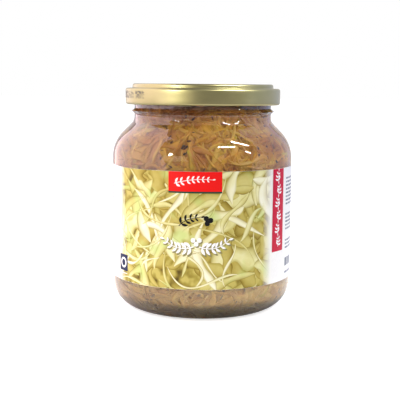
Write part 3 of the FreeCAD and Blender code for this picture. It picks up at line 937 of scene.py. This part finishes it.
# %% The strand pattern
PICTURE = ((u_mm(-57), label_low[2] / MM + 0.05), (u_mm(54), label_high[2] / MM - 0.05))
pattern = np.random.default_rng(41)
GROUND_TONE = -1  # marks the ground, which has a ramp of its own
PATH_POINTS = 44
GROUND_LIFT = 8  # microns over the paper, as lift is too
strands = [bar(*PICTURE[0], *PICTURE[1], GROUND_LIFT, tone=GROUND_TONE)]
lift = 12.0
STRAND_KINDS = [
    # count, length, width, bow, how pale
    (56, (12, 34), (1.8, 3.8), 0.40, (0.00, 0.50)),
    (52, (9, 22), (4.0, 9.5), 0.30, (0.10, 0.80)),
    (34, (12, 30), (1.8, 4.2), 0.38, (0.40, 1.0)),
    (26, (12, 34), (0.7, 1.4), 0.50, (0.50, 1.0)),
]
for count, length, width, bow, pale in STRAND_KINDS:
    for _ in range(count):
        u = pattern.uniform(PICTURE[0][0], PICTURE[1][0])
        z = pattern.uniform(PICTURE[0][1], PICTURE[1][1])
        heading = pattern.uniform(0, 2 * math.pi)
        long = pattern.uniform(*length)
        along = np.array([math.cos(heading), math.sin(heading)])
        beside = np.array([-along[1], along[0]])
        start = np.array([u, z]) - along * long / 2
        controls = [start]
        for k in (1, 2, 3):
            controls.append(start + along * long * k / 3 + beside * long * pattern.normal(0, bow * 0.6))
        t = np.linspace(0, 1, PATH_POINTS)
        path = bezier(controls, PATH_POINTS)
        swell = np.clip(np.minimum(t, 1 - t) * pattern.uniform(3, 7), 0.04, 1) ** 0.6
        wobble = 1 + 0.3 * np.sin(pattern.uniform(0, 6) + pattern.uniform(5, 16) * t)
        strands.append(
            ribbon(path, pattern.uniform(*width) * swell * wobble, lift, pattern.uniform(*pale), PICTURE)
        )
        lift += INK_LAYER


PICTURE_MIDDLE = -1.5  # degrees round the jar
FADE = (47.5, 54.5)  # degrees to each side of the picture's middle


def strand_print():
    """Ink for the strands: tone picks the hue, across darkens the edges, and the sides fade to paper."""
    material = start_material("four-colour print of strands")
    place = position(material)
    tone = carried(material, "tone")
    hue = mix_value(material, 0.35, tone, noise(material, place, 6 * MM, 3.0))
    hues = [(0.25, "#B8A44C"), (0.42, "#CDC06C"), (0.58, "#E2DC98"), (0.72, "#F0ECBE"), (0.9, "#FAF8E2")]
    fresh = spread(material, noise(material, place, 10 * MM, 1.0), 0.56, 0.72, 0.0, 0.75)
    greened = mix_colour(material, fresh, ramp_colour(material, hue, *hues), linear("#C6D882"))
    edges = [(0.0, "#AFA05A"), (0.22, "#ECE8D6"), (0.5, "#FFFFFF"), (0.8, "#FFFFFF"), (1.0, "#DCD5AE")]
    shaded = times(material, greened, ramp_colour(material, carried(material, "across"), *edges))
    grounds = [(0.3, "#5A4A18"), (0.4, "#8C7A30"), (0.5, "#A69640"), (0.62, "#C4B55E")]
    ground = ramp_colour(material, noise(material, place, 4 * MM, 1.5), *grounds)
    is_ground = add(material, "Math", {0: tone, 1: GROUND_TONE / 2}, operation="LESS_THAN").outputs[0]
    picture = mix_colour(material, is_ground, shaded, ground)
    turn = carried(material, "turn")
    shifted = add(material, "Math", {0: turn, 1: -PICTURE_MIDDLE}, operation="ADD").outputs[0]
    from_middle = add(material, "Math", {0: shifted}, operation="ABSOLUTE").outputs[0]
    faded = mix_colour(material, spread(material, from_middle, *FADE), picture, linear("#F6F4EC"))
    return finish_material(material, ink_surface(material, faded))


printed("label_pattern", strands, strand_print())
TOP_LIFT = lift + 10
MOTIF_LIFT = TOP_LIFT + 6

# %% [markdown]
# Over the pattern sit flat spot colours: a red tab with a white sprig, a crimson band with a white
# vine, a navy square with a ring, and two small ornaments, one black and one white with a
# soft grey shadow. They are stock garden motifs, as a small printer keeps them.

# %% The spot colours
label_top = label_high[2] / MM
TAB = (u_mm(-14.1), 55.9, u_mm(17.8), label_top - 0.05)
BAND = (u_mm(54.2), 28.5, u_mm(66.4), label_top - 0.05)
SQUARE = (u_mm(-55.3), 19.3, u_mm(-46.0), 26.4)
red_ink = printing_ink("red spot ink", (0.2, "#EE0F0C"), (0.8, "#F21410"))
crimson_ink = printing_ink("crimson spot ink", (0.2, "#C40030"), (0.8, "#CC0536"))
navy_ink = printing_ink("navy spot ink", (0.2, "#10183E"), (0.8, "#18214C"))
black_ink = printing_ink("black ink", (0.2, "#08080A"), (0.8, "#101012"))
white_ink = printing_ink("opaque white ink", (0.2, "#F7F5F1"), (0.8, "#FFFFFF"))
shadow_ink = printing_ink("grey half-tone ink", (0.0, "#6E6A4C"), (0.5, "#8D8757"), (1.0, "#B5AC72"))
green_ink = printing_ink("dark green ink", (0.2, "#12382E"), (0.8, "#1B4A3C"))
printed("label_tab", [bar(*TAB, TOP_LIFT)], red_ink)
printed("label_tab_edge", [bar(TAB[0], TAB[1] - 0.7, TAB[2], TAB[1], TOP_LIFT)], green_ink)
printed("label_band", [bar(*BAND, TOP_LIFT)], crimson_ink)
printed("label_square", [bar(*SQUARE, TOP_LIFT)], navy_ink)


def sprig(root, tip, sag, leaves, size, lift, spread=0.9, tone=0.6):
    """A bowed stem with leaves in pairs that shrink towards the tip."""
    root, tip = np.array(root, float), np.array(tip, float)
    run = tip - root
    beside = np.array([-run[1], run[0]])
    stem = bezier([root, (root + tip) / 2 + beside * sag * 2, tip], 24)
    shapes = [ribbon(stem, np.linspace(0.16, 0.07, 24) * size, lift, tone)]
    for k in range(leaves):
        place = (k + 0.6) / (leaves + 0.4)
        base = stem[int(place * 23)]
        ahead = stem[min(23, int(place * 23) + 1)] - stem[max(0, int(place * 23) - 1)]
        heading = math.atan2(ahead[1], ahead[0])
        scale = size * (1.0 - 0.45 * place)
        for hand in (-1, 1):
            a = heading + hand * spread
            end = base + scale * 1.25 * np.array([math.cos(a), math.sin(a)])
            shapes.append(leaf(base, end, scale * 0.48, 0.1 * hand, lift, tone))
    end = stem[-1] + run / np.linalg.norm(run) * size * 0.7
    shapes.append(leaf(stem[-1], end, size * 0.3, 0, lift, tone))
    return shapes


tab_middle = (TAB[1] + TAB[3]) / 2
tab_ends = ((u_mm(-10.5), tab_middle - 0.8), (u_mm(12.0), tab_middle + 0.8))
tab_sprig = sprig(*tab_ends, 0.05, 7, 1.9, MOTIF_LIFT)
band_middle = (BAND[0] + BAND[2]) / 2
vine = []
for k in range(6):
    low = BAND[1] + 2.0 + k * 5.6
    bow = 0.13 if k % 2 else -0.13
    vine += sprig((band_middle, low), (band_middle, low + 4.6), bow, 3, 1.9, MOTIF_LIFT, spread=1.0)
square_middle = ((SQUARE[0] + SQUARE[2]) / 2, (SQUARE[1] + SQUARE[3]) / 2)
square_ring = [
    ring(square_middle, 1.9, 0.8, MOTIF_LIFT),
    bar(SQUARE[0] + 0.4, SQUARE[1] - 1.2, SQUARE[2] - 0.4, SQUARE[1] - 0.9, MOTIF_LIFT),
]
printed("label_tab_sprig", tab_sprig, white_ink)
printed("label_band_vine", vine, white_ink)
printed("label_square_ring", square_ring, white_ink)


def garland(shift, lift, tone, size=1.0):
    """A wreath laid flat: two sprigs that part from the middle, with berries between."""
    middle = (u_mm(2.8) + shift[0], 34.4 + shift[1])
    shapes = []
    for end, sag in ((u_mm(-19.6) + 2.0, 0.16), (u_mm(25.1) - 2.0, -0.16)):
        root = (middle[0] + math.copysign(1.2, end), middle[1] - 1.3)
        shapes += sprig(root, (end + shift[0], middle[1] + 1.5), sag, 6, 2.8 * size, lift, tone=tone)
    for across, up in ((0, -0.2), (-1.3, 1.4), (1.3, 1.4)):
        shapes.append(ring((middle[0] + across, middle[1] + up), 0.5, 1.0 * size, lift, tone))
    return shapes


printed("label_garland_shadow", garland((0.45, -0.5), TOP_LIFT + 2, 0.45, 1.12), shadow_ink)
printed("label_garland", garland((0, 0), MOTIF_LIFT, 0.6), white_ink)
black_sprig = sprig((u_mm(-7.6), 41.6), (u_mm(5.5), 45.2), 0.12, 4, 2.5, MOTIF_LIFT)
for across, up in ((0, 0), (1.4, 1.3), (-0.4, 2.0)):
    black_sprig.append(ring((u_mm(9.2) + across, 42.8 + up), 0.55, 1.1, MOTIF_LIFT))
printed("label_sprig", black_sprig, black_ink)

# %% [markdown]
# The rest of the label is white, with the small print that every food label has. It is drawn as
# bars, the way a layout shows text before it is written, so nothing on the part can be read.

# %% The small print
grey_ink = printing_ink("grey ink", (0.0, "#6F7480"), (1.0, "#8E929C"))
prose = np.random.default_rng(57)
SMALL_LIFT = 14  # microns over the paper


def text_block(left, right, top, lines, height=0.75, leading=1.6):
    """Lines of word-like bars in a column, in mm, from the top down."""
    words = []
    for k in range(lines):
        z = top - k * leading
        place = left
        stop = right - prose.uniform(0, 0.35) * (right - left) * (k == lines - 1)
        while place < stop - 0.6:
            word = min(prose.uniform(1.0, 4.2) * height * 1.4, stop - place)
            words.append(bar(place, z - height, place + word, z, SMALL_LIFT, prose.uniform(0, 1)))
            place += word + height * 0.7
    return words


small_print = text_block(u_mm(71), u_mm(104), 59.8, 8)
small_print += text_block(u_mm(71), u_mm(104), 44.0, 5)
small_print += text_block(u_mm(71), u_mm(100), 32.5, 3)
for k in range(4):
    small_print.append(bar(u_mm(71) + 2.8 * k, 20.8, u_mm(71) + 2.8 * k + 2.2, 24.4, SMALL_LIFT, 0.3 * k))
small_print += text_block(u_mm(71), u_mm(94), 18.4, 1, 0.9)
small_print += text_block(u_mm(-104), u_mm(-68), 58.0, 9)
small_print += text_block(u_mm(-104), u_mm(-68), 40.0, 8)
TABLE = (u_mm(112), 30.0, u_mm(160), 58.0)
for k in range(9):
    z = TABLE[1] + (TABLE[3] - TABLE[1]) * k / 8
    small_print.append(bar(TABLE[0], z, TABLE[2], z + 0.15, SMALL_LIFT, 0.2))
    if k:
        small_print += text_block(TABLE[0] + 0.8, TABLE[0] + 14, z - 1.1, 1, 0.9)
        small_print += text_block(TABLE[2] - 8, TABLE[2] - 0.8, z - 1.1, 1, 0.9)
BOX = (u_mm(-160), 30.0, u_mm(-122), 52.0)
for z in (BOX[1], BOX[3]):
    small_print.append(bar(BOX[0], z, BOX[2], z + 0.2, SMALL_LIFT, 0.2))
for u in (BOX[0], BOX[2]):
    small_print.append(bar(u, BOX[1], u + 0.2, BOX[3] + 0.2, SMALL_LIFT, 0.2))
small_print += text_block(BOX[0] + 1.6, BOX[2] - 1.6, BOX[3] - 1.8, 10, 0.85, 1.9)
printed("label_small_print", small_print, grey_ink)
round_once = np.linspace(0, 2 * math.pi, 33)
oval_path = np.stack([u_mm(-50.9) + 2.3 * np.cos(round_once), 31.9 + 2.0 * np.sin(round_once)], 1)
oval = [ribbon(oval_path, 0.3, MOTIF_LIFT)]
printed("label_oval", oval, printing_ink("pale grey ink", (0.0, "#B9BBB4"), (1.0, "#C6C8C0")))

# %% [markdown]
# ## The studio
# White background paper, large soft boxes to the left, right and back, and a few small tubes in front. The
# boxes give the glass its long soft sheen, and the tubes its streaks. The paper is overexposed for
# the camera, as in a product picture. For the jar it is plain grey paper that glows in a ring around it.

# %% Floor and lights
REACH = 6.0
SETTLE = 0.1 * MM
floor_corners = [(x * REACH, y * REACH, -SETTLE) for x, y in ((-1, -1), (1, -1), (1, 1), (-1, 1))]
floor = new_piece("floor", floor_corners, [(0, 1, 2, 3)])
paper_floor = start_material("white background paper")
matt = add(paper_floor, "BsdfPrincipled", {"Base Color": linear("#C4C4C4"), "Roughness": 0.9})
from_jar = add(paper_floor, "VectorMath", {0: position(paper_floor)}, operation="LENGTH").outputs["Value"]
ring_of_light = [(0.034, "#000000"), (0.052, "#FFFFFF"), (0.15, "#FFFFFF"), (0.36, "#000000")]
glow = ramp_colour(paper_floor, from_jar, *ring_of_light)
lit_below = add(paper_floor, "Emission", {"Color": glow, "Strength": 1.25})
UNDER_FOOT = (0.02, 0.036)
white_out = spread(paper_floor, from_jar, *UNDER_FOOT)
blown_out = add(paper_floor, "Emission", {"Color": linear("#FFFFFF"), "Strength": white_out})
to_camera = add(paper_floor, "LightPath").outputs["Is Camera Ray"]
extra = add(paper_floor, "MixShader", {0: to_camera, 1: lit_below.outputs[0], 2: blown_out.outputs[0]})
both_lights = add(paper_floor, "AddShader", {0: matt.outputs[0], 1: extra.outputs[0]})
floor.data.materials.append(finish_material(paper_floor, both_lights))

VIEW_TURN = math.radians(6)
TARGET = Vector((0, 0, (jar_high[2] + jar_low[2]) / 2))
TUBE_DISTANCE = 1.8
TUBE_RADIANCE = 260


def from_target(side, up, distance):
    """A place seen from the jar: side degrees to the right of the camera, up degrees above it."""
    a, e = math.radians(side) + VIEW_TURN, math.radians(up)
    way = Vector((math.sin(a) * math.cos(e), -math.cos(a) * math.cos(e), math.sin(e)))
    return TARGET + way * distance


def tube(name, begin, end, thickness):
    """A lit tube between two (side, up) directions. It only glints, because the screens do the lighting."""
    ends = [from_target(*begin, TUBE_DISTANCE), from_target(*end, TUBE_DISTANCE)]
    middle = (ends[0] + ends[1]) / 2
    along = (ends[1] - ends[0]).normalized()
    back = (middle - TARGET).normalized()
    beside = back.cross(along).normalized()
    along = beside.cross(back)
    light = bpy.data.lights.new(name, "AREA")
    light.shape = "RECTANGLE"
    light.size, light.size_y = (ends[1] - ends[0]).length, thickness
    light.energy = TUBE_RADIANCE * light.size * thickness * math.pi
    fixture = bpy.data.objects.new(name, light)
    fixture.matrix_world = Matrix.Translation(middle) @ Matrix((along, beside, back)).transposed().to_4x4()
    fixture.visible_transmission = False
    fixture.visible_diffuse = False
    bpy.context.scene.collection.objects.link(fixture)


tube("tube_front", (26, 46), (52, 40), 0.05)
tube("tube_right", (59, 56), (71, 40), 0.05)
tube("tube_low", (60, 28), (66, 22), 0.05)
tube("tube_left", (-46, 9), (-41, 22), 0.12)

# %% [markdown]
# The soft boxes are curved white screens that stand on the paper around the jar, lit from behind. Their
# front edges lean back, which gives the sheen on the shoulder its slanted border.

# %% Soft boxes
SCREEN_DISTANCE = 0.6


def screen(name, low, high, tops, radiance, tint):
    """A curved glowing screen. low and high are its ends in degrees round the jar, tops in degrees up."""
    columns, rows = 25, 9
    points = []
    for i in range(rows):
        share = i / (rows - 1)
        up = math.radians(tops[0] + (tops[1] - tops[0]) * share)
        for j in range(columns):
            begin = low[0] + (high[0] - low[0]) * share
            stop = low[1] + (high[1] - low[1]) * share
            side = math.radians(begin + (stop - begin) * j / (columns - 1)) + VIEW_TURN
            height = TARGET.z + SCREEN_DISTANCE * math.tan(up)
            points.append((SCREEN_DISTANCE * math.sin(side), -SCREEN_DISTANCE * math.cos(side), height))
    faces = []
    for i in range(rows - 1):
        for j in range(columns - 1):
            a = i * columns + j
            faces.append((a, a + 1, a + 1 + columns, a + columns))
    panel = new_piece(name, points, faces)
    material = start_material(name + " cloth")
    glow = add(material, "Emission", {"Color": linear(tint), "Strength": radiance})
    panel.data.materials.append(finish_material(material, glow))
    panel.visible_camera = False


screen("left_screen", (-44, -150), (-72, -148), (-4.7, 63), 3.0, "#FFEEF7")
screen("left_card", (-17, -50), (-24, -52), (2.5, 17), 2.4, "#FFF1D0")
screen("back_screen", (152, 208), (150, 210), (-4.7, 58), 1.0, "#F6F6FF")
screen("right_screen", (62, 150), (92, 148), (-4.7, 61), 1.3, "#D6DFFF")

# %% The surroundings
world = bpy.data.worlds.new("studio")
bpy.context.scene.world = world
world.use_nodes = True
world.node_tree.nodes.clear()
room = add(world, "Background", {"Color": linear("#FFFFFF"), "Strength": 0.36})
backdrop = add(world, "Background", {"Color": linear("#FFFFFF"), "Strength": 1.0})
seen = add(world, "LightPath").outputs["Is Camera Ray"]
mixed = add(world, "MixShader", {0: seen, 1: room.outputs[0], 2: backdrop.outputs[0]})
add(world, "OutputWorld", {"Surface": mixed.outputs[0]})

# %% [markdown]
# The camera stands 40 cm away, level with the top of the lid, and looks down by seven degrees. A lens of
# 80 mm keeps the jar's sides nearly straight.

# %% The camera
DISTANCE = 0.3994
EYE_HEIGHT = 0.09926
DOWN = 7.41
TILT = 0.5
camera_data = bpy.data.cameras.new("camera")
camera_data.sensor_width = 36
camera_data.lens = 79.9
camera_data.shift_x = -0.005
camera = bpy.data.objects.new("camera", camera_data)
camera.location = (DISTANCE * math.sin(VIEW_TURN), -DISTANCE * math.cos(VIEW_TURN), EYE_HEIGHT)
aim = Matrix.Rotation(VIEW_TURN, 3, "Z") @ Matrix.Rotation(math.radians(90 - DOWN), 3, "X")
camera.rotation_euler = (aim @ Matrix.Rotation(math.radians(TILT), 3, "Z")).to_euler()
bpy.context.scene.collection.objects.link(camera)
bpy.context.scene.camera = camera
bpy.context.scene.view_settings.view_transform = "Standard"
bpy.context.scene.cycles.use_denoising = True
